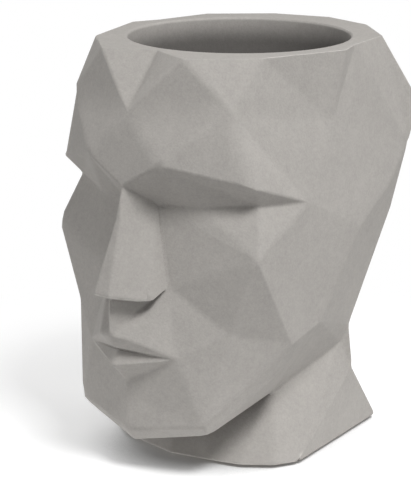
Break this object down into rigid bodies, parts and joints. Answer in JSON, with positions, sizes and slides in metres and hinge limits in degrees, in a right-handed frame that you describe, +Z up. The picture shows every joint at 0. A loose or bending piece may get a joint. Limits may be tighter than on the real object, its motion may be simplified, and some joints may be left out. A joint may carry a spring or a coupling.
{
  "type": "head planter",
  "caption": "Faceted cast-concrete planter in the shape of a stylised human head, with a tapered round bowl, a drain hole with a lift-out rubber stopper, and rubber feet.",
  "frame": {"origin": "centre of the overall box in plan, at the level the feet stand on", "axes": "+Z up, the face looks along -Y, +X is to the right of someone who faces the face"},
  "size_m": [0.123, 0.174, 0.1865],
  "materials": {
    "concrete": "matte, fine cast surface",
    "stopper_rubber": "matte moulded",
    "foot_rubber": "matte moulded"
  },
  "bodies": {
    "planter": {"planter_head": "concrete", "foot_front_left": "foot_rubber", "foot_front_right": "foot_rubber", "foot_rear_left": "foot_rubber", "foot_rear_right": "foot_rubber"},
    "stopper": {"drain_plug": "stopper_rubber"}
  },
  "joints": [
    {"name": "stopper_lift", "type": "slide", "parent": "planter", "child": "stopper", "axis": [0, 0, 1], "range_m": [0, 0.03]}
  ]
}
